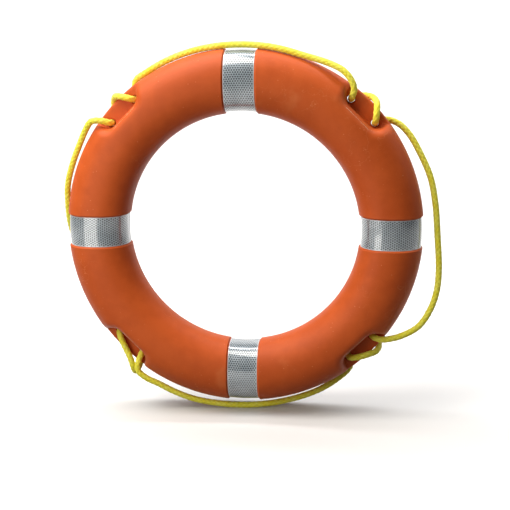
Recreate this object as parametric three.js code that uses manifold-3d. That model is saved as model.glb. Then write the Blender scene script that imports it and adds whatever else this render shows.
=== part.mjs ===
// Ring lifebuoy, 600 mm across: a foam-filled plastic ring with four reflective tapes and a grab line
// that is laced through four moulded lugs. Millimetres, +Z up. The ring's axis is Y, and its front is -Y.
// The origin is on the inside of the ring at the very top, where a bracket hook carries it.
import * as THREE from 'three';
import { mergeVertices } from 'three/addons/utils/BufferGeometryUtils.js';
import Module from 'manifold-3d';

const wasm = await Module();
wasm.setup();

// ---- driving dimensions ----
const OUTER_DIAMETER = 600;
const TUBE_WIDTH = 105;            // across the tube, from the inner to the outer edge
const TUBE_DEPTH = 100;            // along the ring's axis
const TUBE_SQUARENESS = 2.25;      // exponent of the section: 2 is an ellipse
const SHELL_WALL = 3;
const CORE_GAP = 0.3;              // between the shell and its foam core

const TAPE_WIDTH = 50;
const TAPE_THICKNESS = 0.6;
const TAPE_GAP = 0.3;              // under the tape
const TAPE_MARGIN = 1.5;            // bare recess floor on each side of the tape
const RECESS_DEPTH = 3;

const POCKET_DEPTH = 29;           // from the ring's outer edge to the flat bottom of a pocket
const POCKET_FLOOR_LENGTH = 70;
const POCKET_MOUTH_LENGTH = 95;    // where the pocket leaves the ring's outer edge
const POCKET_CORNER = 11;          // rounding between the floor and the sloping ends
const FIN_THICKNESS = 20;
const LUG_HOLE_DIAMETER = 13;
const LUG_HOLE_SPACING = 55;
const LUG_HOLE_HEIGHT = 8.65;      // hole centres above the pocket floor

const FILLER_HOLE = 18;            // diameter
const FILLER_ANGLE = -67.5;        // degrees round the ring, from the right-hand side
const VENT_HOLE = 7;
const VENT_ANGLE = -112.5;
const PLUG_RIM = 5;                // how far a plug's head laps past its hole
const PLUG_HEAD = 2;
const PLUG_GAP = 0.3;
const PLUG_SEAT_DEPTH = 3;         // below the crown of the tube
const PLUG_BORE_DEPTH = 9;         // below the seat
const PLUG_CHAMFER = 0.3;
const BOSS_WALL = 4;               // plastic round and under a plug's seat

const ROPE_DIAMETER = 10;
const ROPE_FACE_GAP = 0.3;         // between one stretch of the rope and the next
const SLEEVE_WALL = 1.2;
const SLEEVE_GAP = 0.4;
const SLEEVE_STEP = 3;             // the sleeve covers this one of the left-hand loop's steps

// ---- facets ----
const RING_STEPS = 80;
const SECTION_STEPS = 24;
const INNER_RING_STEPS = 60;
const INNER_SECTION_STEPS = 16;
const LOOP_STEPS = 10;
const WRAP_STEPS = 26;
const ROPE_SIDES = 8;
const SLEEVE_SIDES = 12;
const HOLE_SIDES = 20;
const CORNER_STEPS = 3;

const OUTER_RADIUS = OUTER_DIAMETER / 2;
const INNER_RADIUS = OUTER_RADIUS - TUBE_WIDTH;
const TUBE_CENTRE = OUTER_RADIUS - TUBE_WIDTH / 2;
const POCKET_FLOOR = OUTER_RADIUS - POCKET_DEPTH;
const LUG_HOLE_LINE = POCKET_FLOOR + LUG_HOLE_HEIGHT;
const REACH = TUBE_DEPTH;          // cutters run this far from the ring's middle plane
const WELD_DISTANCE = 1e-4;

// ---- finishes ----
function finish(color, roughness, metalness = 0) {
  return new THREE.MeshStandardMaterial({ color, roughness, metalness });
}

const orangePlastic = finish(0xd05a22, 0.42);
const creamFoam = finish(0xe9ddb6, 0.95);
const silverTape = finish(0xaab4b8, 0.25, 0.6);
const yellowRope = finish(0xe8d22c, 0.8);
const blackSleeve = finish(0x18181a, 0.5);

// ---- joining and cutting ----
function toSolid(geometry) {
  const plain = geometry.clone();
  plain.deleteAttribute('normal');
  plain.deleteAttribute('uv');
  const merged = mergeVertices(plain, WELD_DISTANCE);
  const mesh = new wasm.Mesh({
    numProp: 3,
    vertProperties: new Float32Array(merged.attributes.position.array),
    triVerts: new Uint32Array(merged.index.array),
  });
  return new wasm.Manifold(mesh);
}

function toGeometry(solid) {
  const mesh = solid.getMesh();
  const geometry = new THREE.BufferGeometry();
  geometry.setAttribute('position', new THREE.BufferAttribute(mesh.vertProperties, 3));
  geometry.setIndex(new THREE.BufferAttribute(mesh.triVerts, 1));
  geometry.computeVertexNormals();
  return geometry;
}

function onRing(angleInDegrees) {
  return new THREE.Matrix4().makeRotationY(-THREE.MathUtils.degToRad(angleInDegrees));
}

// ---- the ring's tube ----
// One closed section, inset evenly from the tube's outer surface.
function sectionPoints(inset, steps) {
  const halfWidth = TUBE_WIDTH / 2;
  const halfDepth = TUBE_DEPTH / 2;
  const power = 2 / TUBE_SQUARENESS;
  const points = [];
  for (let i = 0; i <= steps; i += 1) {
    const turn = (2 * Math.PI * (i % steps)) / steps;
    const across = Math.cos(turn);
    const along = Math.sin(turn);
    const x = halfWidth * Math.sign(across) * Math.abs(across) ** power;
    const y = halfDepth * Math.sign(along) * Math.abs(along) ** power;
    const normal = new THREE.Vector2(
      (Math.sign(x) * Math.abs(x / halfWidth) ** (TUBE_SQUARENESS - 1)) / halfWidth,
      (Math.sign(y) * Math.abs(y / halfDepth) ** (TUBE_SQUARENESS - 1)) / halfDepth,
    ).normalize();
    points.push(new THREE.Vector2(TUBE_CENTRE + x - inset * normal.x, y - inset * normal.y));
  }
  return points;
}

function ringSolid(inset, ringSteps, sectionSteps) {
  return toSolid(new THREE.LatheGeometry(sectionPoints(inset, sectionSteps), ringSteps));
}

// A slice across the tube, square to the ring: a block that holds all of the tube at one angle.
function sliceAcross(width, angle) {
  const block = new THREE.BoxGeometry(TUBE_WIDTH + REACH, 2 * REACH, width);
  block.translate(TUBE_CENTRE, 0, 0);
  return toSolid(block.applyMatrix4(onRing(angle)));
}

const TAPE_ANGLES = { top: 90, right: 0, bottom: -90, left: 180 };
const LUG_ANGLES = { upper_right: 45, lower_right: -45, lower_left: -135, upper_left: 135 };

// The tube with its four tape recesses, inset evenly all over.
function recessedTube(inset, ringSteps, sectionSteps) {
  const recessWidth = TAPE_WIDTH + 2 * TAPE_MARGIN + 2 * inset;
  const sunk = ringSolid(inset + RECESS_DEPTH, ringSteps, sectionSteps);
  let tube = ringSolid(inset, ringSteps, sectionSteps);
  for (const angle of Object.values(TAPE_ANGLES)) {
    tube = tube.subtract(sliceAcross(recessWidth, angle).subtract(sunk));
  }
  return tube;
}

// ---- the rope pockets ----
// A pocket's outline lies in the ring's plane: x is the distance from the axis, y runs along the ring.
function pocketShape(grow) {
  const mouth = OUTER_RADIUS + POCKET_CORNER;
  const slope = (POCKET_MOUTH_LENGTH - POCKET_FLOOR_LENGTH) / 2 / POCKET_DEPTH;
  const floor = POCKET_FLOOR - grow;
  const halfFloor = POCKET_FLOOR_LENGTH / 2 + grow;
  const halfMouth = halfFloor + slope * (mouth - floor);
  const shape = new THREE.Shape();
  shape.moveTo(mouth, -halfMouth);
  shape.lineTo(mouth, halfMouth);
  shape.lineTo(floor + POCKET_CORNER, halfFloor + slope * POCKET_CORNER);
  shape.quadraticCurveTo(floor, halfFloor, floor, halfFloor - POCKET_CORNER);
  shape.lineTo(floor, POCKET_CORNER - halfFloor);
  shape.quadraticCurveTo(floor, -halfFloor, floor + POCKET_CORNER, -halfFloor - slope * POCKET_CORNER);
  return shape;
}

function pocketCutter(grow, from, to, angle) {
  const cutter = new THREE.ExtrudeGeometry(pocketShape(grow), {
    depth: to - from,
    bevelEnabled: false,
    curveSegments: CORNER_STEPS,
  });
  cutter.translate(0, 0, -to);
  cutter.rotateX(Math.PI / 2);
  return toSolid(cutter.applyMatrix4(onRing(angle)));
}

function roundCutter(diameter, from, to, radius, offset, angle, sides) {
  const cutter = new THREE.CylinderGeometry(diameter / 2, diameter / 2, to - from, sides);
  cutter.translate(radius, (from + to) / 2, offset);
  return toSolid(cutter.applyMatrix4(onRing(angle)));
}

// ---- the plugs on the back ----
const PLUG_SEAT = TUBE_DEPTH / 2 - PLUG_SEAT_DEPTH;
const plugs = [
  { name: 'filler_plug', hole: FILLER_HOLE, angle: FILLER_ANGLE, sides: 20 },
  { name: 'vent_plug', hole: VENT_HOLE, angle: VENT_ANGLE, sides: 12 },
];

function addBosses(inside, grow) {
  let left = inside;
  for (const plug of plugs) {
    const width = plug.hole + 2 * PLUG_RIM + 2 * BOSS_WALL + 2 * grow;
    const foot = PLUG_SEAT - BOSS_WALL - grow;
    left = left.subtract(roundCutter(width, foot, REACH, TUBE_CENTRE, 0, plug.angle, plug.sides));
  }
  return left;
}

// The hollow of the shell, or with a gap the foam that fills it. The lugs are solid plastic.
function insideSolid(gap) {
  const inset = SHELL_WALL + gap;
  let inside = recessedTube(inset, INNER_RING_STEPS, INNER_SECTION_STEPS);
  for (const angle of Object.values(LUG_ANGLES)) {
    inside = inside.subtract(pocketCutter(inset, -REACH, REACH, angle));
  }
  return addBosses(inside, gap);
}

function shellSolid() {
  let shell = recessedTube(0, RING_STEPS, SECTION_STEPS).subtract(insideSolid(0));
  for (const angle of Object.values(LUG_ANGLES)) {
    shell = shell.subtract(pocketCutter(0, FIN_THICKNESS / 2, REACH, angle));
    shell = shell.subtract(pocketCutter(0, -REACH, -FIN_THICKNESS / 2, angle));
    for (const side of [-1, 1]) {
      const offset = (side * LUG_HOLE_SPACING) / 2;
      shell = shell.subtract(
        roundCutter(LUG_HOLE_DIAMETER, -REACH, REACH, LUG_HOLE_LINE, offset, angle, HOLE_SIDES),
      );
    }
  }
  for (const plug of plugs) {
    const seat = plug.hole + 2 * PLUG_RIM + 2 * PLUG_GAP;
    shell = shell.subtract(roundCutter(seat, PLUG_SEAT, REACH, TUBE_CENTRE, 0, plug.angle, plug.sides));
    shell = shell.subtract(
      roundCutter(plug.hole, PLUG_SEAT - PLUG_BORE_DEPTH, REACH, TUBE_CENTRE, 0, plug.angle, plug.sides),
    );
  }
  return shell;
}

// A push-in plug: a flat head on a stem, turned about its own axis.
function plugGeometry(plug) {
  const stem = plug.hole / 2 - PLUG_GAP;
  const head = plug.hole / 2 + PLUG_RIM;
  const outline = [
    new THREE.Vector2(0, PLUG_GAP - BOSS_WALL),
    new THREE.Vector2(stem - PLUG_CHAMFER, PLUG_GAP - BOSS_WALL),
    new THREE.Vector2(stem, PLUG_GAP + PLUG_CHAMFER - BOSS_WALL),
    new THREE.Vector2(stem, PLUG_GAP),
    new THREE.Vector2(head, PLUG_GAP),
    new THREE.Vector2(head, PLUG_HEAD - PLUG_CHAMFER),
    new THREE.Vector2(head - PLUG_CHAMFER, PLUG_HEAD),
    new THREE.Vector2(0, PLUG_HEAD),
  ];
  return new THREE.LatheGeometry(outline, plug.sides);
}

// ---- the reflective tapes ----
function tapeGeometry(angle) {
  const top = RECESS_DEPTH - TAPE_GAP - TAPE_THICKNESS;
  const band = ringSolid(top, RING_STEPS, SECTION_STEPS)
    .subtract(ringSolid(RECESS_DEPTH - TAPE_GAP, RING_STEPS, SECTION_STEPS))
    .intersect(sliceAcross(TAPE_WIDTH, angle));
  return toGeometry(band);
}

// ---- the grab line ----
// One rope goes clockwise round the ring, seen from the front. At each lug it drops through the first
// hole from the front, comes back over the lug's outer edge, and drops through the second hole.
// A loop's points are [x, y, z] from the ring's centre.
const LOOPS = {
  top: [
    [-179.4, 15.3, 247.4], [-160, 8, 260.4], [-131, 1, 276.3], [-100, -3, 289], [-65, -6, 298.6],
    [-23, -9, 304.3], [22, -11, 304.2], [61, -13, 298.8], [102, -15.5, 287.4], [141, -19.5, 275.5],
    [165, -24, 264], [178.5, -25.5, 249],
  ],
  right: [
    [241.5, 18.5, 181], [257, 17, 174.5], [274, 15, 157.5], [291.5, 12, 128], [309, 9, 89],
    [318, 6, 46.5], [323, 3, -8], [326.5, -1, -67], [323.5, -5, -102], [313.5, -10, -132],
    [294.5, -16.5, -159.5], [265.5, -21.5, -175.5], [243, -22, -181.5],
  ],
  bottom: [
    [178.5, 21.5, -249], [160, 18.5, -266.5], [132, 13, -284], [95, 9, -299], [50, 4, -309.5],
    [0, -1, -313.5], [-50, -6, -310], [-95, -11, -300], [-128, -15, -285.5], [-151, -18, -272.5],
    [-171, -22, -261.5], [-184, -23.5, -249],
  ],
  left: [
    [-243, 24.5, -178.5], [-255, 32, -156], [-270, 41.5, -120], [-286.5, 47.5, -85], [-299, 48, -52],
    [-306.7, 42, -22], [-309, 30, 6], [-307.2, 18, 42.5], [-302.7, 8, 72.5], [-289.2, -3, 110],
    [-271.5, -12, 147], [-259, -19, 169.5], [-248.3, -24.3, 182.3],
  ],
};

// A wrap's points are [along, y, out]: clockwise along the lug, front to back, and out from the axis.
const WRAPS = {
  upper_right: [
    [-35.4, -24, 295], [-29.5, -18.5, 284.5], [-27.5, -11, 280.4], [-27.5, -3, 279.7],
    [-27.5, 4, 279.7], [-27.3, 11, 280.2], [-25.5, 17, 284.5], [-21, 19.5, 291.5], [-14, 17.2, 298.7],
    [-6.5, 10.5, 304.3], [0.5, 0, 306.2], [7, -10.5, 304.3], [13.5, -17.5, 298], [20.5, -19.5, 289.8],
    [25.5, -16.5, 283], [27.4, -9.5, 280], [27.5, -2, 279.6], [27.5, 5, 279.8], [28, 12, 281],
    [30.5, 18, 286], [35.5, 20.5, 292.5],
  ],
  lower_right: [
    [-34.5, -21, 292.5], [-29.3, -17.5, 284.3], [-27.5, -11, 280.4], [-27.5, -3, 279.7],
    [-27.5, 4, 279.7], [-27.4, 11, 280.2], [-26.8, 17, 284.5], [-25.5, 19.3, 291.5], [-23.3, 17, 298.7],
    [-20.5, 10.5, 304.3], [-16.8, 0, 306.3], [-11, -10.5, 304.6], [-2, -17.5, 298.8], [8, -19, 293.5],
    [17.5, -18.8, 288], [24.6, -16.4, 282.6], [27.3, -10.5, 279.9], [27.5, -2, 279.6], [27.5, 5, 279.8],
    [28, 12, 281], [30, 18, 286.2], [34.5, 21.3, 293.6],
  ],
  lower_left: [
    [-34.3, -22.5, 294.2], [-29.3, -17.5, 284.3], [-27.5, -11, 280.4], [-27.5, -3, 279.7], [-27.5, 4, 279.7],
    [-27.6, 11, 280.3], [-28.8, 17, 284.8], [-32, 19.5, 292], [-37, 17.5, 301], [-42, 10.5, 310],
    [-44.5, 0, 315], [-42.5, -11.5, 315], [-34, -20, 308.5], [-20, -22, 300], [-2, -20, 293.5],
    [12, -18.8, 288.5], [22.7, -16.8, 283.3], [27.1, -10.8, 280.1], [27.5, -3, 279.7], [27.5, 4, 279.7],
    [28, 11.5, 280.8], [30, 18, 286], [34.3, 21.8, 293.4],
  ],
  upper_left: [
    [-35.3, -22.6, 294.9], [-29.5, -18, 284.5], [-27.5, -11, 280.4], [-27.5, -3, 279.7],
    [-27.5, 4, 279.7], [-27.3, 11, 280.2], [-25, 17, 284.5], [-19.5, 19.5, 291.5], [-11, 17.2, 298.7],
    [-2.5, 10.5, 304.3], [5, 0, 306.2], [11, -10.5, 304.3], [17, -17.5, 298], [22.5, -19.8, 290],
    [26.2, -16.5, 283], [27.4, -9.5, 280], [27.5, -2, 279.6], [27.5, 5, 279.8], [28, 12, 281],
    [30.2, 18, 286.2], [34.8, 20.2, 293.6],
  ],
};

function wrapPoints(name) {
  const turn = onRing(LUG_ANGLES[name]);
  return WRAPS[name].map(([along, y, out]) => new THREE.Vector3(out, y, -along).applyMatrix4(turn));
}

function loopPoints(name) {
  return LOOPS[name].map(([x, y, z]) => new THREE.Vector3(x, y, z));
}

const STRETCHES = [
  { name: 'upper_right', kind: 'wrap' }, { name: 'right', kind: 'loop' },
  { name: 'lower_right', kind: 'wrap' }, { name: 'bottom', kind: 'loop' },
  { name: 'lower_left', kind: 'wrap' }, { name: 'left', kind: 'loop' },
  { name: 'upper_left', kind: 'wrap' }, { name: 'top', kind: 'loop' },
];

const routePoints = [];
for (const stretch of STRETCHES) {
  stretch.first = routePoints.length;
  routePoints.push(...(stretch.kind === 'wrap' ? wrapPoints(stretch.name) : loopPoints(stretch.name)));
}
const route = new THREE.CatmullRomCurve3(routePoints, true, 'centripetal');
route.arcLengthDivisions = 4000;
const routeLength = route.getLength();

// Length along the rope at one of its points.
function lengthAt(pointIndex) {
  const lengths = route.getLengths();
  const share = pointIndex / routePoints.length;
  return lengths[Math.round(share * route.arcLengthDivisions)];
}

// A piece of the rope's own curve, between two lengths along it.
class RopeStretch extends THREE.Curve {
  constructor(from, to) {
    super();
    this.from = from;
    this.to = to;
  }

  getPoint(share, target = new THREE.Vector3()) {
    const length = this.from + (this.to - this.from) * share;
    return target.copy(route.getPointAt(THREE.MathUtils.euclideanModulo(length / routeLength, 1)));
  }
}

function circleShape(radius, sides) {
  const shape = new THREE.Shape();
  for (let i = 0; i < sides; i += 1) {
    const turn = (2 * Math.PI * i) / sides;
    const x = radius * Math.cos(turn);
    const y = radius * Math.sin(turn);
    if (i === 0) shape.moveTo(x, y);
    else shape.lineTo(x, y);
  }
  return shape;
}

function ropeGeometry(from, to, steps) {
  return new THREE.ExtrudeGeometry(circleShape(ROPE_DIAMETER / 2, ROPE_SIDES), {
    steps,
    extrudePath: new RopeStretch(from, to),
    bevelEnabled: false,
  });
}

function sleeveGeometry(from, to) {
  const bore = ROPE_DIAMETER / 2 + SLEEVE_GAP;
  const shape = circleShape(bore + SLEEVE_WALL, SLEEVE_SIDES);
  shape.holes.push(circleShape(bore, SLEEVE_SIDES));
  return new THREE.ExtrudeGeometry(shape, {
    steps: 1,
    extrudePath: new RopeStretch(from, to),
    bevelEnabled: false,
  });
}

// ---- the assembly ----
const lifebuoy = new THREE.Group();
const ring = new THREE.Group();
ring.position.set(0, 0, -INNER_RADIUS);
lifebuoy.add(ring);

function addPiece(name, geometry, material) {
  const piece = new THREE.Mesh(geometry, material.clone());
  piece.name = name;
  ring.add(piece);
  return piece;
}

addPiece('ring_shell', toGeometry(shellSolid()), orangePlastic);
addPiece('foam_core', toGeometry(insideSolid(CORE_GAP)), creamFoam);

for (const plug of plugs) {
  const piece = addPiece(plug.name, plugGeometry(plug), orangePlastic);
  const turn = THREE.MathUtils.degToRad(plug.angle);
  piece.position.set(TUBE_CENTRE * Math.cos(turn), PLUG_SEAT, TUBE_CENTRE * Math.sin(turn));
}

for (const [place, angle] of Object.entries(TAPE_ANGLES)) {
  addPiece(`tape_${place}`, tapeGeometry(angle), silverTape);
}

STRETCHES.forEach((stretch, index) => {
  const next = STRETCHES[(index + 1) % STRETCHES.length];
  const end = next.first === 0 ? routeLength : lengthAt(next.first);
  stretch.from = lengthAt(stretch.first) + ROPE_FACE_GAP / 2;
  stretch.to = end - ROPE_FACE_GAP / 2;
  const steps = stretch.kind === 'wrap' ? WRAP_STEPS : LOOP_STEPS;
  const name = `grab_line_${stretch.name}_${stretch.kind}`;
  addPiece(name, ropeGeometry(stretch.from, stretch.to, steps), yellowRope);
});

const leftLoop = STRETCHES.find((stretch) => stretch.name === 'left');
const loopStep = (leftLoop.to - leftLoop.from) / LOOP_STEPS;
const sleeveStart = leftLoop.from + SLEEVE_STEP * loopStep;
addPiece('rope_end_sleeve', sleeveGeometry(sleeveStart, sleeveStart + loopStep), blackSleeve);

export default lifebuoy;
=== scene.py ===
# Ring lifebuoy: an orange foam-filled ring with reflective tapes and a yellow grab line laced
# through its four lugs. Metres, +Z up, the ring's axis along Y and its front towards -Y. The origin
# is on the inside of the ring at the very top.
import math

import bmesh
import bpy
import numpy as np
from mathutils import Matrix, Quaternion, Vector, noise


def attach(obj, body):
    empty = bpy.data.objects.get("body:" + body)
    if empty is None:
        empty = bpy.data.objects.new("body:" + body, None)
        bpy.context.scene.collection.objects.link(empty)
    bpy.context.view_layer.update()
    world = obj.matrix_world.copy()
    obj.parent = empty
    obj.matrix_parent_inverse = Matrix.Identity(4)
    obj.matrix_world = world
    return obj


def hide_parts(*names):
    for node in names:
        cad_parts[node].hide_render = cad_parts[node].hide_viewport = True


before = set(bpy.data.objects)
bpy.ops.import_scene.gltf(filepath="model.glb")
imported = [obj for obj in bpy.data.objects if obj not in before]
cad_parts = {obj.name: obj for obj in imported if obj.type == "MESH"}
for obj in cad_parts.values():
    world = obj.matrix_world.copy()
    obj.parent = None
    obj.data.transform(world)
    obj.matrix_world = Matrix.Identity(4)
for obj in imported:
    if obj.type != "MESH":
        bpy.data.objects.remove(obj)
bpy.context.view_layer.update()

# ---- camera ----
# A long lens looks at the front of the ring, from a little to its right and a little above it. It
# is aimed right of the ring's middle and below it, so the ring stands high and to the left.
ring_centre = Vector((0.0, 0.0, -0.195))
camera_turn = math.radians(7.19)
camera_rise = math.radians(11.2)
camera_distance = 1.75
camera_roll = math.radians(0.6)
aim_right = 0.0186
aim_below = 0.0444

back = Vector((
    math.sin(camera_turn) * math.cos(camera_rise),
    -math.cos(camera_turn) * math.cos(camera_rise),
    math.sin(camera_rise),
))
across = Vector((math.cos(camera_turn), math.sin(camera_turn), 0.0))
upward = back.cross(across)
camera_place = ring_centre + back * camera_distance
aim = ring_centre + across * aim_right - upward * aim_below

camera_data = bpy.data.cameras.new("camera")
camera_data.lens = 73.25
camera_data.sensor_width = 36.0
camera_data.clip_end = 50.0
camera = bpy.data.objects.new("camera", camera_data)
bpy.context.collection.objects.link(camera)
camera.rotation_mode = "QUATERNION"
camera.rotation_quaternion = (
    (aim - camera_place).to_track_quat("-Z", "Y") @ Quaternion((0.0, 0.0, 1.0), -camera_roll)
)
camera.location = camera_place
bpy.context.scene.camera = camera


# ---- grab line ----
# One yellow rope of plaited polypropylene, 10 mm thick. It goes once round the ring and is laced
# through every lug: down the first hole from the front, back over the lug's edge, down the second.
rope_radius = 0.005
rope_sides = 40
rope_spacing = 0.00113
plait_strands = 4          # strands turning each way
plait_step = 0.0088        # along the rope, from one strand to the next
strand_height = 0.0008
strand_roundness = 0.96    # 1 would be a full half circle
strand_wave = 0.0005
weld_distance = 1e-6

lug_angles = {"upper_right": 45, "lower_right": -45, "lower_left": -135, "upper_left": 135}

# Along each loop: x, y and height from the ring's centre.
loops = {
    "top": [
        (-0.1794, 0.0153, 0.2474), (-0.16, 0.008, 0.2604), (-0.131, 0.001, 0.2763),
        (-0.1, -0.003, 0.289), (-0.065, -0.006, 0.2986), (-0.023, -0.009, 0.3043),
        (0.022, -0.011, 0.3042), (0.061, -0.013, 0.2988), (0.102, -0.0155, 0.2874),
        (0.141, -0.0195, 0.2755), (0.165, -0.024, 0.264), (0.1785, -0.0255, 0.249),
    ],
    "right": [
        (0.2415, 0.0185, 0.181), (0.257, 0.017, 0.1745), (0.274, 0.015, 0.1575),
        (0.2915, 0.012, 0.128), (0.309, 0.009, 0.089), (0.318, 0.006, 0.0465),
        (0.323, 0.003, -0.008), (0.3265, -0.001, -0.067), (0.3235, -0.005, -0.102),
        (0.3135, -0.01, -0.132), (0.2945, -0.0165, -0.1595), (0.2655, -0.0215, -0.1755),
        (0.243, -0.022, -0.1815),
    ],
    "bottom": [
        (0.1785, 0.0215, -0.249), (0.16, 0.0185, -0.2665), (0.132, 0.013, -0.284),
        (0.095, 0.009, -0.299), (0.05, 0.004, -0.3095), (0, -0.001, -0.3135),
        (-0.05, -0.006, -0.31), (-0.095, -0.011, -0.3), (-0.128, -0.015, -0.2855),
        (-0.151, -0.018, -0.2725), (-0.171, -0.022, -0.2615), (-0.184, -0.0235, -0.249),
    ],
    "left": [
        (-0.243, 0.0245, -0.1785), (-0.255, 0.032, -0.156), (-0.27, 0.0415, -0.12),
        (-0.2865, 0.0475, -0.085), (-0.299, 0.048, -0.052), (-0.3067, 0.042, -0.022),
        (-0.309, 0.03, 0.006), (-0.3072, 0.018, 0.0425), (-0.3027, 0.008, 0.0725),
        (-0.2892, -0.003, 0.11), (-0.2715, -0.012, 0.147), (-0.259, -0.019, 0.1695),
        (-0.2483, -0.0243, 0.1823),
    ],
}

# Round each lug: clockwise along it, y, and out from the ring's axis.
wraps = {
    "upper_right": [
        (-0.0354, -0.024, 0.295), (-0.0295, -0.0185, 0.2845), (-0.0275, -0.011, 0.2804),
        (-0.0275, -0.003, 0.2797), (-0.0275, 0.004, 0.2797), (-0.0273, 0.011, 0.2802),
        (-0.0255, 0.017, 0.2845), (-0.021, 0.0195, 0.2915), (-0.014, 0.0172, 0.2987),
        (-0.0065, 0.0105, 0.3043), (0.0005, 0, 0.3062), (0.007, -0.0105, 0.3043),
        (0.0135, -0.0175, 0.298), (0.0205, -0.0195, 0.2898), (0.0255, -0.0165, 0.283),
        (0.0274, -0.0095, 0.28), (0.0275, -0.002, 0.2796), (0.0275, 0.005, 0.2798),
        (0.028, 0.012, 0.281), (0.0305, 0.018, 0.286), (0.0355, 0.0205, 0.2925),
    ],
    "lower_right": [
        (-0.0345, -0.021, 0.2925), (-0.0293, -0.0175, 0.2843), (-0.0275, -0.011, 0.2804),
        (-0.0275, -0.003, 0.2797), (-0.0275, 0.004, 0.2797), (-0.0274, 0.011, 0.2802),
        (-0.0268, 0.017, 0.2845), (-0.0255, 0.0193, 0.2915), (-0.0233, 0.017, 0.2987),
        (-0.0205, 0.0105, 0.3043), (-0.0168, 0, 0.3063), (-0.011, -0.0105, 0.3046),
        (-0.002, -0.0175, 0.2988), (0.008, -0.019, 0.2935), (0.0175, -0.0188, 0.288),
        (0.0246, -0.0164, 0.2826), (0.0273, -0.0105, 0.2799), (0.0275, -0.002, 0.2796),
        (0.0275, 0.005, 0.2798), (0.028, 0.012, 0.281), (0.03, 0.018, 0.2862),
        (0.0345, 0.0213, 0.2936),
    ],
    "lower_left": [
        (-0.0343, -0.0225, 0.2942), (-0.0293, -0.0175, 0.2843), (-0.0275, -0.011, 0.2804),
        (-0.0275, -0.003, 0.2797), (-0.0275, 0.004, 0.2797), (-0.0276, 0.011, 0.2803),
        (-0.0288, 0.017, 0.2848), (-0.032, 0.0195, 0.292), (-0.037, 0.0175, 0.301),
        (-0.042, 0.0105, 0.31), (-0.0445, 0, 0.315), (-0.0425, -0.0115, 0.315),
        (-0.034, -0.02, 0.3085), (-0.02, -0.022, 0.3), (-0.002, -0.02, 0.2935),
        (0.012, -0.0188, 0.2885), (0.0227, -0.0168, 0.2833), (0.0271, -0.0108, 0.2801),
        (0.0275, -0.003, 0.2797), (0.0275, 0.004, 0.2797), (0.028, 0.0115, 0.2808),
        (0.03, 0.018, 0.286), (0.0343, 0.0218, 0.2934),
    ],
    "upper_left": [
        (-0.0353, -0.0226, 0.2949), (-0.0295, -0.018, 0.2845), (-0.0275, -0.011, 0.2804),
        (-0.0275, -0.003, 0.2797), (-0.0275, 0.004, 0.2797), (-0.0273, 0.011, 0.2802),
        (-0.025, 0.017, 0.2845), (-0.0195, 0.0195, 0.2915), (-0.011, 0.0172, 0.2987),
        (-0.0025, 0.0105, 0.3043), (0.005, 0, 0.3062), (0.011, -0.0105, 0.3043),
        (0.017, -0.0175, 0.298), (0.0225, -0.0198, 0.29), (0.0262, -0.0165, 0.283),
        (0.0274, -0.0095, 0.28), (0.0275, -0.002, 0.2796), (0.0275, 0.005, 0.2798),
        (0.028, 0.012, 0.281), (0.0302, 0.018, 0.2862), (0.0348, 0.0202, 0.2936),
    ],
}

rope_points = []
for wrap, loop in (("upper_right", "right"), ("lower_right", "bottom"), ("lower_left", "left"),
                   ("upper_left", "top")):
    turn = math.radians(lug_angles[wrap])
    for along, depth, out in wraps[wrap]:
        rope_points.append((
            out * math.cos(turn) + along * math.sin(turn),
            depth,
            out * math.sin(turn) - along * math.cos(turn),
        ))
    if loop == "left":
        left_loop_start = len(rope_points)
        left_loop_end = left_loop_start + len(loops[loop])
    rope_points.extend(loops[loop])
rope_points = np.array(rope_points) + np.array(ring_centre)


def closed_curve(points, steps):
    """A centripetal Catmull-Rom curve through the points and back to the first."""
    before = np.roll(points, 1, axis=0)
    after = np.roll(points, -1, axis=0)
    beyond = np.roll(points, -2, axis=0)
    gap_before = np.linalg.norm(points - before, axis=1)[:, None] ** 0.5
    gap = np.linalg.norm(after - points, axis=1)[:, None] ** 0.5
    gap_beyond = np.linalg.norm(beyond - after, axis=1)[:, None] ** 0.5
    leave = gap * (
        (points - before) / gap_before - (after - before) / (gap_before + gap)
        + (after - points) / gap
    )
    arrive = gap * (
        (after - points) / gap - (beyond - points) / (gap + gap_beyond)
        + (beyond - after) / gap_beyond
    )
    rows = []
    for share in np.arange(steps) / steps:
        cube = 2 * share ** 3 - 3 * share ** 2 + 1
        rows.append(
            points * cube + leave * (share ** 3 - 2 * share ** 2 + share)
            + after * (1 - cube) + arrive * (share ** 3 - share ** 2)
        )
    return np.stack(rows, axis=1).reshape(-1, 3)


curve_steps = 60
dense = closed_curve(rope_points, curve_steps)
dense = np.vstack([dense, dense[:1]])
travelled = np.concatenate([[0.0], np.cumsum(np.linalg.norm(np.diff(dense, axis=0), axis=1))])
rope_length = travelled[-1]


def rope_place(distance):
    """Points of the rope's centre line at distances along it, which may run past its end."""
    wrapped = np.mod(distance, rope_length)
    return np.stack([np.interp(wrapped, travelled, dense[:, axis]) for axis in range(3)], axis=-1)


# The two ends meet a third of the way up the left-hand loop, inside the sleeve.
left_start = travelled[left_loop_start * curve_steps]
left_end = travelled[left_loop_end * curve_steps]
sleeves_in_loop = 10
sleeves_below_joint = 3.5
sleeve_length = (left_end - left_start) / sleeves_in_loop
sleeve_middle = left_start + sleeves_below_joint * sleeve_length
end_gap = 0.0006


def carried_frames(places):
    """Two directions across a path at each of its points, carried along it without twisting."""
    forward = np.gradient(places, axis=0)
    forward /= np.linalg.norm(forward, axis=1)[:, None]
    side = np.cross(forward[0], (0.0, 0.0, 1.0))
    side /= np.linalg.norm(side)
    sides = []
    for heading in forward:
        side = side - heading * side.dot(heading)
        side = side / np.linalg.norm(side)
        sides.append(side)
    sides = np.array(sides)
    return sides, np.cross(forward, sides)


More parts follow.
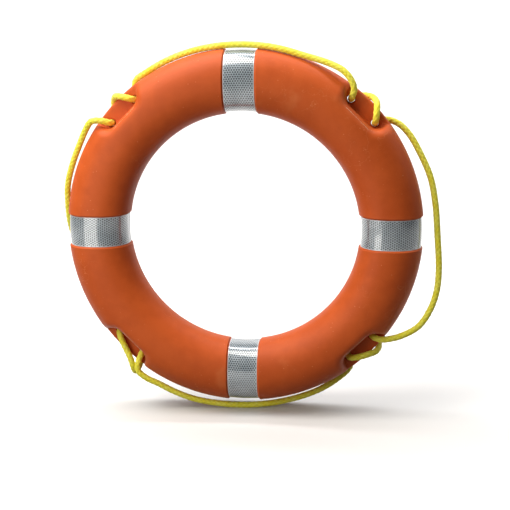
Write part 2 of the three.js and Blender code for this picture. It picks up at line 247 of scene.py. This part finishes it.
def sweep_tube(name, places, sides, relief, radius):
    """A tube round a path. relief gives the height of its surface over its radius."""
    shape = bmesh.new()
    shape.loops.layers.uv.new("lay")
    bmesh.ops.create_grid(
        shape, x_segments=sides, y_segments=len(places) - 1, size=0.5, calc_uvs=True,
    )
    mesh = bpy.data.meshes.new(name)
    shape.to_mesh(mesh)
    shape.free()
    flat = np.empty(len(mesh.vertices) * 3)
    mesh.vertices.foreach_get("co", flat)
    flat = flat.reshape(-1, 3)
    round_share = flat[:, 0] + 0.5
    ring = np.rint((flat[:, 1] + 0.5) * (len(places) - 1)).astype(int)
    one, two = carried_frames(places)
    angle = round_share * 2 * np.pi
    reach = radius + relief(round_share, ring / (len(places) - 1))
    outward = one[ring] * np.cos(angle)[:, None] + two[ring] * np.sin(angle)[:, None]
    mesh.vertices.foreach_set("co", (places[ring] + outward * reach[:, None]).ravel())
    shape = bmesh.new()
    shape.from_mesh(mesh)
    bmesh.ops.remove_doubles(shape, verts=shape.verts, dist=weld_distance)
    bmesh.ops.holes_fill(shape, edges=[edge for edge in shape.edges if edge.is_boundary], sides=0)
    bmesh.ops.recalc_face_normals(shape, faces=shape.faces)
    for face in shape.faces:
        face.smooth = True
    shape.to_mesh(mesh)
    shape.free()
    tube = bpy.data.objects.new(name, mesh)
    bpy.context.collection.objects.link(tube)
    return tube


def plait_relief(round_share, length_share):
    """The height of a plait's surface: each strand is round, and goes over one and under one."""
    along = length_share * rope_length / plait_step
    right_turning = plait_strands * round_share + along
    left_turning = plait_strands * round_share - along
    right_strand = np.floor(right_turning)
    left_strand = np.floor(left_turning)
    right_across = np.clip(2 * (right_turning - right_strand) - 1, -1, 1)
    left_across = np.clip(2 * (left_turning - left_strand) - 1, -1, 1)
    right_side = np.where(right_strand % 2 == 0, 1, -1)
    left_side = np.where(left_strand % 2 == 0, 1, -1)
    right_height = strand_wave * right_side * np.sin(np.pi * left_turning)
    left_height = -strand_wave * left_side * np.sin(np.pi * right_turning)
    right_height += strand_height * (np.sqrt(1 - strand_roundness * right_across ** 2) - 1)
    left_height += strand_height * (np.sqrt(1 - strand_roundness * left_across ** 2) - 1)
    return np.maximum(right_height, left_height)


rope_rings = int(rope_length / rope_spacing)
rope_distance = np.linspace(
    sleeve_middle + end_gap / 2, sleeve_middle + rope_length - end_gap / 2, rope_rings,
)
rope_path = rope_place(rope_distance)
rope = sweep_tube("grab_line", rope_path, rope_sides, plait_relief, rope_radius)


class Shade:
    """A value in a material. Arithmetic on it adds the maths nodes and wires them up."""

    def __init__(self, tree, socket=None):
        self.tree = tree
        self.socket = socket

    def feed(self, target, value):
        if isinstance(value, Shade):
            self.tree.links.new(value.socket, target)
        else:
            target.default_value = value

    def node(self, kind, settings, inputs, output=0):
        made = self.tree.nodes.new(kind)
        for name, value in settings.items():
            setattr(made, name, value)
        for name, value in inputs.items():
            self.feed(made.inputs[name], value)
        return Shade(self.tree, made.outputs[output])

    def maths(self, operation, *values):
        return self.node("ShaderNodeMath", {"operation": operation}, dict(enumerate(values)))

    def __add__(self, other):
        return self.maths("ADD", self, other)

    def __radd__(self, other):
        return self.maths("ADD", other, self)

    def __sub__(self, other):
        return self.maths("SUBTRACT", self, other)

    def __rsub__(self, other):
        return self.maths("SUBTRACT", other, self)

    def __mul__(self, other):
        return self.maths("MULTIPLY", self, other)

    def __rmul__(self, other):
        return self.maths("MULTIPLY", other, self)

    def __truediv__(self, other):
        return self.maths("DIVIDE", self, other)

    def __mod__(self, other):
        return self.maths("FLOORED_MODULO", self, other)

    def __abs__(self):
        return self.maths("ABSOLUTE", self)

    def floor(self):
        return self.maths("FLOOR", self)

    def rise(self, low, high):
        """0 below low, 1 above high, and smooth between them. It falls instead if low > high."""
        first, last = (0.0, 1.0) if low < high else (1.0, 0.0)
        return self.node(
            "ShaderNodeMapRange", {"interpolation_type": "SMOOTHSTEP"},
            {"Value": self, "From Min": min(low, high), "From Max": max(low, high),
             "To Min": first, "To Max": last},
        )

    def blend(self, first, second):
        """The first colour where this value is 0, and the second where it is 1."""
        return self.node("ShaderNodeMix", {"data_type": "RGBA"}, {0: self, 6: first, 7: second}, 2)

    def noise(self, scale, detail):
        return self.node(
            "ShaderNodeTexNoise", {}, {"Vector": self, "Scale": scale, "Detail": detail},
        )

    def part(self, axis):
        return self.node("ShaderNodeSeparateXYZ", {}, {0: self}, axis)

    def joined(self, y, z=0.0):
        return self.node("ShaderNodeCombineXYZ", {}, {0: self, 1: y, 2: z})

    def bump(self, distance, strength=1.0):
        return self.node(
            "ShaderNodeBump", {}, {"Height": self, "Distance": distance, "Strength": strength},
        )


def new_material(name):
    """A material with its principled shader and the start of its node tree."""
    material = bpy.data.materials.new(name)
    material.use_nodes = True
    return material, material.node_tree.nodes["Principled BSDF"].inputs, Shade(material.node_tree)


deep_yellow = (0.97, 0.88, 0.03, 1)
bright_yellow = (1.0, 0.97, 0.12, 1)
# The olive is the colour of painted shade between the strands and where one strand dips under
# another, and of dirt where the rope is soiled.
shade_and_dirt_olive = (0.70, 0.62, 0.025, 1)
fibres_per_strand = 9.0
groove_shade = 0.4         # how far the shade-and-dirt olive shows: painted shade between the strands, painted shade where a strand goes under another, and dirt where the rope is soiled
dip_shade = 0.14           # where a strand goes under another,
dirt_shade = 0.12          # and where the rope is soiled

rope_material, rope_shader, rope_tree = new_material("plaited_rope")
lay = rope_tree.node("ShaderNodeUVMap", {"uv_map": "lay"}, {})
rope_round = lay.part(0) * float(plait_strands)
rope_along = lay.part(1) * (rope_length / plait_step)
turning_right = rope_round + rope_along
turning_left = rope_round - rope_along
across_right = turning_right % 1.0
across_left = turning_left % 1.0
left_on_top = abs((turning_right.floor() + turning_left.floor()) % 2.0)
strand_across = across_right + left_on_top * (across_left - across_right)
strand_along = across_left + left_on_top * (across_right - across_left)
strand_number = turning_right.floor() + left_on_top * (
    turning_left.floor() - turning_right.floor()
)
groove = abs(strand_across - 0.5).rise(0.3, 0.5)
dip = abs(strand_along - 0.5).rise(0.3, 0.52)
fibres = (strand_across * fibres_per_strand).joined(strand_along * 0.5, strand_number * 3.7)
fibres = fibres.noise(2.2, 3.0)
soiled = lay.part(1).joined(lay.part(0) * 0.01).noise(14.0, 3.0)
strand_tint = (strand_number * 0.37).joined(0.0).noise(9.0, 0.0)
yellow = (strand_tint + fibres * 0.5 - 0.25).rise(0.3, 0.75).blend(deep_yellow, bright_yellow)
# Painted shade in the grooves and dips, plus dirt in soiled patches, darkens the yellow towards
# olive.
painted_shade_and_dirt = groove * groove_shade + dip * dip_shade + soiled.rise(0.62, 0.8) * dirt_shade
rope_tree.feed(rope_shader["Base Color"], painted_shade_and_dirt.blend(yellow, shade_and_dirt_olive))
rope_tree.feed(rope_shader["Roughness"], 0.5 + fibres * 0.25 + groove * 0.15)
rope_shader["Sheen Weight"].default_value = 0.15
rope_tree.feed(rope_shader["Normal"], (fibres - groove * 0.4).bump(0.0005, 0.8))
rope.data.materials.append(rope_material)

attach(rope, "root")


# ---- sleeve on the grab line ----
# The rope's two ends butt together inside a black sleeve, shrunk on hot. It shows the plait under
# it as shallow bumps, and its rims are thin and slightly rolled.
sleeve_wall = 0.0011
sleeve_clearance = 0.0001
sleeve_rings = 90
sleeve_sides = 48
rim_wall_share = 0.35      # of the sleeve's wall, at its very ends
ripple_height = 0.00012    # over the strands
swell_height = 0.0002      # over the joint
rim_height = 0.0003        # of the rolled rims
sleeve_black = (0.012, 0.012, 0.013, 1)
scuffed_black = (0.05, 0.05, 0.052, 1)
sleeve_distance = np.linspace(
    sleeve_middle - sleeve_length / 2, sleeve_middle + sleeve_length / 2, sleeve_rings,
)


def sleeve_relief(round_share, length_share):
    """Shrunk over the strands: thin at both rims, and a little swollen where the ends butt."""
    edge = np.minimum(length_share, 1 - length_share)
    along = length_share * sleeve_length / plait_step
    ripple = np.sin(2 * np.pi * (plait_strands * round_share + along))
    ripple *= np.sin(2 * np.pi * (plait_strands * round_share - along))
    taper = np.clip(edge / 0.06, 0, 1)
    swell = np.exp(-((length_share - 0.5) / 0.12) ** 2)
    rim = np.exp(-((edge - 0.03) / 0.018) ** 2)
    wall = sleeve_wall * (rim_wall_share + (1 - rim_wall_share) * taper ** 0.5)
    return wall + ripple_height * ripple * taper + swell_height * swell + rim_height * rim


sleeve = sweep_tube(
    "rope_sleeve", rope_place(sleeve_distance), sleeve_sides, sleeve_relief,
    rope_radius + sleeve_clearance,
)
sleeve_material, sleeve_shader, sleeve_tree = new_material("shrunk_sleeve")
sleeve_place = sleeve_tree.node("ShaderNodeTexCoord", {}, {}, "Object")
sleeve_grain = sleeve_place.noise(900.0, 3.0)
sleeve_scuff = sleeve_place.noise(160.0, 4.0)
sleeve_tree.feed(
    sleeve_shader["Base Color"],
    sleeve_scuff.rise(0.5, 0.75).blend(sleeve_black, scuffed_black),
)
sleeve_tree.feed(sleeve_shader["Roughness"], 0.34 + sleeve_scuff * 0.3)
sleeve_tree.feed(sleeve_shader["Normal"], (sleeve_grain + sleeve_scuff * 2.0).bump(0.0002, 0.5))
sleeve.data.materials.append(sleeve_material)
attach(sleeve, "root")
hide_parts("rope_end_sleeve")

rope_nodes = []
for place in ("upper_right", "lower_right", "lower_left", "upper_left"):
    rope_nodes.append(f"grab_line_{place}_wrap")
for place in ("right", "bottom", "left", "top"):
    rope_nodes.append(f"grab_line_{place}_loop")
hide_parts(*rope_nodes)


# ---- floor and lights ----
# A pale seamless floor that curves up behind the ring. A large soft light hangs overhead on the
# left, a tall one stands at the front left and a weak narrow one at the right, and a long one over
# the floor lights the backdrop.
floor_height = -0.515
floor_half_length = 6.0
floor_lines = 160
floor_widening = 1.4
cove_start = 1.6
cove_radius = 1.2
pale_grey = (0.85, 0.85, 0.85, 1)
room_light = (1.0, 0.94, 0.88, 1)
room_strength = 0.11

floor_shape = bmesh.new()
bmesh.ops.create_grid(floor_shape, x_segments=2, y_segments=floor_lines, size=floor_half_length)
for point in floor_shape.verts:
    past = point.co.y - cove_start
    if past > 0:
        bend = min(past / cove_radius, math.pi / 2)
        point.co.y = cove_start + cove_radius * math.sin(bend)
        wall_height = max(0.0, past - cove_radius * math.pi / 2)
        point.co.z = cove_radius * (1 - math.cos(bend)) + wall_height
    point.co.z += floor_height
    point.co.x *= floor_widening
floor_mesh = bpy.data.meshes.new("floor")
for face in floor_shape.faces:
    face.smooth = True
floor_shape.to_mesh(floor_mesh)
floor_shape.free()
floor = bpy.data.objects.new("floor", floor_mesh)
bpy.context.collection.objects.link(floor)
floor_material, floor_shader, _ = new_material("pale_floor")
floor_shader["Base Color"].default_value = pale_grey
floor_shader["Roughness"].default_value = 0.85
floor.data.materials.append(floor_material)
floor.visible_diffuse = False

world = bpy.data.worlds.new("studio")
world.use_nodes = True
world.node_tree.nodes["Background"].inputs["Color"].default_value = room_light
world.node_tree.nodes["Background"].inputs["Strength"].default_value = room_strength
bpy.context.scene.world = world
bpy.context.scene.view_settings.view_transform = "Standard"


def soft_light(name, place, target, width, height, power, colour=(1.0, 1.0, 1.0)):
    """A rectangular soft light that faces a target."""
    light_data = bpy.data.lights.new(name, "AREA")
    light_data.shape = "RECTANGLE"
    light_data.size = width
    light_data.size_y = height
    light_data.energy = power
    light_data.color = colour
    light = bpy.data.objects.new(name, light_data)
    light.location = place
    light.rotation_euler = (Vector(target) - Vector(place)).to_track_quat("-Z", "Y").to_euler()
    bpy.context.collection.objects.link(light)


warm_white = (1.0, 0.96, 0.9)
soft_light("overhead_light", (-0.85, -0.55, 1.6), (0.0, 0.0, -0.2), 1.6, 2.0, 60, warm_white)
soft_light("left_light", (-0.72, -1.12, 0.1), (0.0, 0.0, 0.1), 0.75, 1.2, 9, warm_white)
soft_light("right_light", (1.9, 0.3, 0.6), (0.0, 0.0, -0.2), 0.4, 1.6, 3)
soft_light("backdrop_light", (0.0, 0.6, 1.9), (0.0, 2.8, 0.0), 5.0, 0.8, 130)


# ---- ring shell ----
# One hollow moulding of orange polyethylene with a satin skin. It has four lugs, each a fin with
# two holes for the rope between a front and a back pocket. It also has four sunk bands for the
# tapes, and two seats for the plugs.
tube_centre = 0.2475
tube_half_width = 0.0525
tube_half_depth = 0.05
tube_squareness = 2.25
band_depth = 0.003
band_half_width = 0.0265
band_lip = 0.0013
pocket_floor = 0.271
pocket_half_floor = 0.035
pocket_half_mouth = 0.0475
outer_radius = 0.3
fin_half_thickness = 0.010
lug_hole_line = 0.27965
lug_hole_offset = 0.0275
lug_hole_radius = 0.0065

# How far the roundings reach: where a pocket's floor meets its ends, where it meets the fin, and
# its rim, which is rounder away from the fin, between two distances from the ring's middle plane.
end_rounding = 0.013
fin_rounding = 0.005
rim_rounding = 0.0045
rim_rounding_growth = 0.0095
rim_grows_from = 0.013
rim_grows_to = 0.026

# Where the surface needs fine lines: degrees from a tape to a lug, and degrees round the section
# from its outer edge, with the number of lines between each two.
ring_zones = [0, 5.6, 6.9, 33, 40, 45]
ring_lines = [5, 13, 19, 21, 6]
section_zones = [0, 8, 26, 45, 75, 180]
section_lines = [5, 20, 8, 24, 23]


def section_radius(angle):
    """From the middle of the tube to its surface."""
    wide = np.abs(np.cos(angle) / tube_half_width) ** tube_squareness
    deep = np.abs(np.sin(angle) / tube_half_depth) ** tube_squareness
    return (wide + deep) ** (-1 / tube_squareness)


def smooth_step(value, low, high):
    share = np.clip((value - low) / (high - low), 0, 1)
    return share * share * (3 - 2 * share)


def round_min(one, other, size):
    """The smaller of two, with the edge between them rounded."""
    near = np.clip(size - np.abs(one - other), 0, None) / size
    return np.minimum(one, other) - near * near * size / 4


def round_max(one, other, size):
    return -round_min(-one, -other, size)


def spread(angle, span, zones, lines):
    """Move evenly spaced lines so that each zone holds its own number of them."""
    ends = np.concatenate([[0], np.cumsum(lines)])
    return np.sign(angle) * np.interp(np.abs(angle) / span * ends[-1], ends, np.radians(zones))


shell_shape = bmesh.new()
bmesh.ops.create_circle(
    shell_shape, segments=2 * sum(section_lines), radius=tube_half_depth,
)
bmesh.ops.translate(shell_shape, verts=shell_shape.verts, vec=(tube_centre, 0, 0))
bmesh.ops.spin(
    shell_shape, geom=shell_shape.verts[:] + shell_shape.edges[:], cent=(0, 0, 0), axis=(0, 1, 0),
    angle=2 * math.pi, steps=8 * sum(ring_lines), use_merge=True,
)
shell_mesh = bpy.data.meshes.new("shell")
shell_shape.to_mesh(shell_mesh)
shell_shape.free()

coordinates = np.empty(len(shell_mesh.vertices) * 3)
shell_mesh.vertices.foreach_get("co", coordinates)
coordinates = coordinates.reshape(-1, 3)
ring_angle = np.arctan2(coordinates[:, 2], coordinates[:, 0])
section_angle = np.arctan2(
    coordinates[:, 1], np.hypot(coordinates[:, 0], coordinates[:, 2]) - tube_centre,
)
tape_angle = np.round(ring_angle / (np.pi / 2)) * (np.pi / 2)
from_tape = spread(ring_angle - tape_angle, np.pi / 4, ring_zones, ring_lines)
section_angle = spread(section_angle, np.pi, section_zones, section_lines)

# Beside a tape the lines run square across the tube, like the edges of the sunk band. They turn
# back to pointing at the ring's axis between two angles from the tape.
square_lines_end = math.radians(9.5)
plain_lines_start = math.radians(22)
plain_radius = section_radius(section_angle)
from_axis = tube_centre + plain_radius * np.cos(section_angle)
square = np.arcsin(np.clip(tube_centre * np.sin(from_tape) / from_axis, -1, 1))
squareness = 1 - smooth_step(np.abs(from_tape), square_lines_end, plain_lines_start)
from_tape = squareness * square + (1 - squareness) * from_tape
ring_angle = tape_angle + from_tape
beside_tape = np.abs(from_axis * np.sin(from_tape))
sunk = 1 - smooth_step(beside_tape, band_half_width - band_lip, band_half_width + band_lip)
surface = plain_radius - band_depth * sunk

# A pocket is bounded by its floor, the lug's fin and its two sloping ends, with rounded corners and
# rims. The surface is found along each ray out of the tube by halving.
halvings = 26
ray_margin = 0.001
from_lug = np.abs(np.pi / 4 - np.abs(from_tape))
slope = (pocket_half_mouth - pocket_half_floor) / (outer_radius - pocket_floor)
solid_reach = np.zeros_like(surface)
open_reach = surface + ray_margin
for _ in range(halvings):
    reach = (solid_reach + open_reach) / 2
    from_axis = tube_centre + reach * np.cos(section_angle)
    out = from_axis * np.cos(from_lug)
    depth = np.abs(reach * np.sin(section_angle))
    end = from_axis * np.sin(from_lug) - pocket_half_floor - slope * (out - pocket_floor)
    hollow = round_max(pocket_floor - out, end / math.hypot(1, slope), end_rounding)
    hollow = round_max(hollow, fin_half_thickness - depth, fin_rounding)
    growth = smooth_step(depth, rim_grows_from, rim_grows_to)
    rim_size = rim_rounding + rim_rounding_growth * growth
    solid = round_max(reach - surface, -hollow, rim_size) < 0
    solid_reach = np.where(solid, reach, solid_reach)
    open_reach = np.where(solid, open_reach, reach)
surface = (solid_reach + open_reach) / 2

from_axis = tube_centre + surface * np.cos(section_angle)
coordinates = np.stack([
    from_axis * np.cos(ring_angle),
    surface * np.sin(section_angle),
    from_axis * np.sin(ring_angle) + ring_centre.z,
], axis=1)
shell_mesh.vertices.foreach_set("co", coordinates.ravel())
shell_shape = bmesh.new()
shell_shape.from_mesh(shell_mesh)
bmesh.ops.recalc_face_normals(shell_shape, faces=shell_shape.faces)
shell_shape.to_mesh(shell_mesh)
shell_shape.free()
shell = bpy.data.objects.new("shell", shell_mesh)
bpy.context.collection.objects.link(shell)


def ring_place(angle, out, along=0.0, depth=0.0):
    """A point by its angle round the ring, its distance from the axis and its offset clockwise."""
    turn = math.radians(angle)
    return Vector((
        out * math.cos(turn) + along * math.sin(turn),
        depth,
        out * math.sin(turn) - along * math.cos(turn) + ring_centre.z,
    ))


def turn_profile(shape, profile, middle, steps):
    """Turn a profile of (radius, y) round a line along Y through the middle."""
    corners = [shape.verts.new(middle + Vector((radius, height, 0))) for radius, height in profile]
    edges = [shape.edges.new(pair) for pair in zip(corners, corners[1:])]
    bmesh.ops.spin(
        shape, geom=corners + edges, cent=middle, axis=(0, 1, 0), angle=2 * math.pi, steps=steps,
        use_merge=True,
    )


# The rope's holes have rounded rims on both faces of the fin. A rim is y and how much wider the
# hole is there.
hole_sides = 48
hole_cutter_end = -0.06
hole_rim = ((-0.0118, 0), (-0.0102, 0.0014), (-0.0094, 0.0005), (-0.0084, 0))
hole_profile = [(0, hole_cutter_end), (lug_hole_radius, hole_cutter_end)]
for height, grow in hole_rim:
    hole_profile.append((lug_hole_radius + grow, height))
for radius, height in reversed(hole_profile[:]):
    hole_profile.append((radius, -height))
cutter_shape = bmesh.new()
for angle in lug_angles.values():
    for side in (-1, 1):
        hole_middle = ring_place(angle, lug_hole_line, side * lug_hole_offset)
        turn_profile(cutter_shape, hole_profile, hole_middle, hole_sides)

# Seats on the back for the filler plug and the vent plug: angle, bore radius and head radius.
plug_seat = 0.047
plug_gap = 0.0003
seat_sides = 64
bore_bottom = plug_seat - 0.009
seat_corner = 0.0004
seat_rim = 0.0494
seat_flare = 0.002
seat_cutter_end = 0.055
plug_places = {"filler_plug": (-67.5, 0.009, 0.014), "vent_plug": (-112.5, 0.0035, 0.0085)}
for angle, bore, head in plug_places.values():
    seat = head + plug_gap
    seat_profile = [
        (0, bore_bottom), (bore, bore_bottom), (bore, plug_seat), (seat - seat_corner, plug_seat),
        (seat, plug_seat + seat_corner), (seat, seat_rim), (seat + seat_flare, seat_cutter_end),
        (0, seat_cutter_end),
    ]
    turn_profile(cutter_shape, seat_profile, ring_place(angle, tube_centre), seat_sides)
bmesh.ops.remove_doubles(cutter_shape, verts=cutter_shape.verts, dist=weld_distance)
bmesh.ops.recalc_face_normals(cutter_shape, faces=cutter_shape.faces)
cutter_mesh = bpy.data.meshes.new("cutter")
cutter_shape.to_mesh(cutter_mesh)
cutter_shape.free()
cutter = bpy.data.objects.new("cutter", cutter_mesh)
bpy.context.collection.objects.link(cutter)
cut = shell.modifiers.new("holes", "BOOLEAN")
cut.operation = "DIFFERENCE"
cut.solver = "MANIFOLD"
cut.object = cutter
bpy.context.view_layer.update()
cut_mesh = bpy.data.meshes.new_from_object(
    shell.evaluated_get(bpy.context.evaluated_depsgraph_get()),
)
shell.modifiers.clear()
shell.data = cut_mesh
bpy.data.objects.remove(cutter)
shell.data.shade_smooth()
shell.data.set_sharp_from_angle(angle=math.radians(38))

deep_orange = (0.51, 0.082, 0.013, 1)
bright_orange = (0.59, 0.102, 0.018, 1)
worn_orange = (0.78, 0.27, 0.10, 1)

shell_material, shell_shader, shell_tree = new_material("orange_polyethylene")
shell_place = shell_tree.node("ShaderNodeTexCoord", {}, {}, "Object")
cloud = shell_place.noise(9.0, 3.0)
mottle = shell_place.noise(55.0, 4.0)
peel = shell_place.noise(420.0, 2.0)
grain = shell_place.noise(1700.0, 1.0)
speck_cells = shell_tree.node(
    "ShaderNodeTexVoronoi", {}, {"Vector": shell_place, "Scale": 130.0}, "Distance",
)
speck = speck_cells.rise(0.13, 0.06) * shell_place.noise(23.0, 1.0).rise(0.52, 0.62)
scratch_field = shell_place.noise(30.0, 3.0)
scratch_patches = shell_place.noise(6.0, 2.0).rise(0.5, 0.66)
scratch = abs(scratch_field - 0.5).rise(0.0035, 0.0008) * scratch_patches
rub = shell_place.noise(16.0, 5.0).rise(0.6, 0.78)
# The parting line round the middle plane is drawn a little lighter as well as raised, mixed in with
# the scratches, rubs and specks.
seam = abs(shell_place.part(1)).rise(0.0007, 0.0002)
orange = (cloud * 0.6 + mottle * 0.4).rise(0.34, 0.66).blend(deep_orange, bright_orange)
wear_and_seam = rub * 0.25 + scratch * 0.6 + speck * 0.7 + seam * 0.2
shell_tree.feed(shell_shader["Base Color"], wear_and_seam.blend(orange, worn_orange))
shell_tree.feed(
    shell_shader["Roughness"], 0.42 + mottle * 0.1 + rub * 0.12 + scratch * 0.2 + cloud * 0.06,
)
shell_shader["Specular IOR Level"].default_value = 0.2
skin = peel + grain * 0.25 + mottle * 1.4 - speck * 1.2 - scratch * 0.8 + seam * 2.0
shell_tree.feed(shell_shader["Normal"], skin.bump(0.00035, 0.6))
shell.data.materials.clear()
shell.data.materials.append(shell_material)
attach(shell, "root")
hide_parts("ring_shell")


# ---- filler plug and vent plug ----
# Push-in plugs of the shell's own plastic, welded into their seats after the foam has risen. Each
# has a domed head with a groove round it and the small mark of its moulding gate in the middle.
plug_sides = 96
plug_weld_distance = 1e-7
deep_plug_orange = (0.46, 0.085, 0.016, 1)
bright_plug_orange = (0.56, 0.118, 0.024, 1)

plug_material, plug_shader, plug_tree = new_material("orange_plug_plastic")
plug_place = plug_tree.node("ShaderNodeTexCoord", {}, {}, "Object")
plug_mottle = plug_place.noise(80.0, 4.0)
plug_peel = plug_place.noise(700.0, 2.0)
plug_tree.feed(
    plug_shader["Base Color"],
    plug_mottle.rise(0.35, 0.7).blend(deep_plug_orange, bright_plug_orange),
)
plug_tree.feed(plug_shader["Roughness"], 0.3 + plug_mottle * 0.2)
plug_tree.feed(plug_shader["Normal"], (plug_peel + plug_mottle).bump(0.0003, 0.5))

for name, (angle, bore, head) in plug_places.items():
    stem = bore - plug_gap
    plug_shape = bmesh.new()
    # Radius and height above the seat: the waisted stem, the head's rolled edge, the groove round
    # its dome and the dimple left by the gate.
    profile = [
        (0, -0.0037), (stem - 0.0006, -0.0037), (stem, -0.003), (stem - 0.0002, -0.0016),
        (stem, -0.0008), (stem, 0.0003), (head - 0.0003, 0.0003), (head, 0.0006), (head, 0.0011),
        (head - 0.0002, 0.0015), (head - 0.0006, 0.0017), (head - 0.0016, 0.0018),
        (head * 0.76, 0.00185), (head * 0.74, 0.0013), (head * 0.68, 0.0013),
        (head * 0.66, 0.0019), (head * 0.3, 0.002), (head * 0.14, 0.002), (head * 0.11, 0.0017),
        (0, 0.0016),
    ]
    middle = ring_place(angle, tube_centre, depth=plug_seat)
    turn_profile(plug_shape, profile, middle, plug_sides)
    bmesh.ops.remove_doubles(plug_shape, verts=plug_shape.verts, dist=plug_weld_distance)
    bmesh.ops.recalc_face_normals(plug_shape, faces=plug_shape.faces)
    plug_mesh = bpy.data.meshes.new(name)
    plug_shape.to_mesh(plug_mesh)
    plug_shape.free()
    plug_mesh.shade_smooth()
    plug_mesh.set_sharp_from_angle(angle=math.radians(35))
    plug_mesh.materials.append(plug_material)
    plug = bpy.data.objects.new(f"{name}_moulding", plug_mesh)
    bpy.context.collection.objects.link(plug)
    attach(plug, "root")
    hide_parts(name)


# ---- reflective tapes ----
# Silver reflective film, 50 mm wide, cut from a roll and stuck once round the tube in the sunk
# band. Its two ends overlap on the back. Sealed cells show through its glossy face as rows of dark
# dots.
tape_half_width = 0.025
tape_film = 0.00028
tape_glue = 0.0003         # between the band and the film
lap_glue = 0.00012         # between the two ends where they overlap
tape_overlap = 0.024
tape_seam = math.radians(140)
tape_round_radius = 0.048  # turns an angle round the tube into a length of tape
tape_turn = tape_overlap / tape_round_radius
tape_lines_across = 22
tape_lines_along = 230
lap_rises_before = 0.05    # radians either side of one full turn
lap_rises_after = 0.03
crease_height = 0.00012
creases_across = 30
creases_along = 14
cell_pitch = 0.0041
cell_row = 0.0035
cell_inside = 0.0015
cell_outside = 0.0019
edge_inside = 0.0016
edge_outside = 0.001
dull_silver = (0.42, 0.50, 0.55, 1)
bright_silver = (0.56, 0.64, 0.69, 1)
edge_silver = (0.46, 0.50, 0.54, 1)
cell_blue_black = (0.002, 0.010, 0.022, 1)

tape_material, tape_shader, tape_tree = new_material("reflective_film")
film = tape_tree.node("ShaderNodeUVMap", {"uv_map": "film"}, {})
film_across = film.part(0)
film_along = film.part(1)
row = film_along / cell_row
shifted = film_across / cell_pitch + (row.floor() % 2.0) * 0.5
cell_x = (shifted % 1.0 - 0.5) * cell_pitch
cell_y = (row % 1.0 - 0.5) * cell_row
from_cell = tape_tree.maths("SQRT", cell_x * cell_x + cell_y * cell_y)
dots = from_cell.rise(cell_outside, cell_inside)
film_wear = film.noise(40.0, 4.0)
film_edge = abs(film_across - tape_half_width).rise(
    tape_half_width - edge_inside, tape_half_width - edge_outside,
)
film_dull = film.noise(900.0, 2.0)
silver = film_wear.rise(0.35, 0.7).blend(dull_silver, bright_silver)
silver = (dots * (0.98 - film_wear * 0.15) * (1.0 - film_edge)).blend(silver, cell_blue_black)
silver = (film_edge * 0.6).blend(silver, edge_silver)
tape_tree.feed(tape_shader["Base Color"], silver)
tape_tree.feed(tape_shader["Metallic"], 0.35 - dots * 0.35)
tape_tree.feed(tape_shader["Roughness"], 0.3 + film_wear * 0.12 + film_dull * 0.06)
tape_shader["Coat Weight"].default_value = 1.0
tape_shader["Coat Roughness"].default_value = 0.05
tape_shader["Coat IOR"].default_value = 1.75
tape_tree.feed(
    tape_shader["Normal"],
    (film_wear * 1.5 + dots * 0.25 + film.noise(12.0, 2.0) * 4.0).bump(0.0003, 0.5),
)

for place, angle in (("top", 90), ("right", 0), ("bottom", -90), ("left", 180)):
    tape_shape = bmesh.new()
    tape_uv = tape_shape.loops.layers.uv.new("film")
    bmesh.ops.create_grid(
        tape_shape, x_segments=tape_lines_across, y_segments=tape_lines_along, size=0.5,
        calc_uvs=True,
    )
    turns = 2 * math.pi + tape_turn
    for face in tape_shape.faces:
        for corner in face.loops:
            corner[tape_uv].uv.x *= 2 * tape_half_width
            corner[tape_uv].uv.y *= turns * tape_round_radius
    for point in tape_shape.verts:
        beside = point.co.x * 2 * tape_half_width
        share = point.co.y + 0.5
        section_turn = tape_seam + share * turns
        over = float(smooth_step(
            np.array(share * turns), 2 * math.pi - lap_rises_before, 2 * math.pi + lap_rises_after,
        ))
        crease = noise.noise(Vector((beside * creases_across, share * creases_along, angle)))
        reach = float(section_radius(np.array(section_turn))) - band_depth
        reach += tape_glue + over * (tape_film + lap_glue) + crease * crease_height
        out = tube_centre + reach * math.cos(section_turn)
        point.co = ring_place(angle, math.sqrt(out * out - beside * beside), beside,
                              reach * math.sin(section_turn))
    bmesh.ops.recalc_face_normals(tape_shape, faces=tape_shape.faces)
    tape_mesh = bpy.data.meshes.new(f"tape_{place}_film")
    tape_shape.to_mesh(tape_mesh)
    tape_shape.free()
    tape_mesh.shade_smooth()
    tape_mesh.materials.append(tape_material)
    tape = bpy.data.objects.new(f"tape_{place}_film", tape_mesh)
    bpy.context.collection.objects.link(tape)
    wall = tape.modifiers.new("film", "SOLIDIFY")
    wall.thickness = tape_film
    wall.offset = 1.0
    bpy.context.view_layer.update()
    tape.data = bpy.data.meshes.new_from_object(
        tape.evaluated_get(bpy.context.evaluated_depsgraph_get()),
    )
    tape.modifiers.clear()
    tape.data.set_sharp_from_angle(angle=math.radians(50))
    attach(tape, "root")
    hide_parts(f"tape_{place}")


# ---- foam core ----
# The closed-cell foam that fills the shell and keeps it afloat if it is pierced. It is poured in as
# a liquid, rises and sets. It is never seen, so its plain moulded shape is kept.
pale_foam = (0.84, 0.76, 0.50, 1)
dark_foam = (0.62, 0.50, 0.28, 1)

core_material, core_shader, core_tree = new_material("closed_cell_foam")
core_place = core_tree.node("ShaderNodeTexCoord", {}, {}, "Object")
core_cells = core_tree.node(
    "ShaderNodeTexVoronoi", {}, {"Vector": core_place, "Scale": 600.0}, "Distance",
)
core_cloud = core_place.noise(30.0, 3.0)
core_tree.feed(
    core_shader["Base Color"],
    (core_cells * 0.6 + core_cloud * 0.4).rise(0.2, 0.7).blend(dark_foam, pale_foam),
)
core_tree.feed(core_shader["Roughness"], 0.85 + core_cells * 0.1)
core_tree.feed(core_shader["Normal"], core_cells.bump(0.0006, 0.7))
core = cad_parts["foam_core"]
core.data.materials.clear()
core.data.materials.append(core_material)
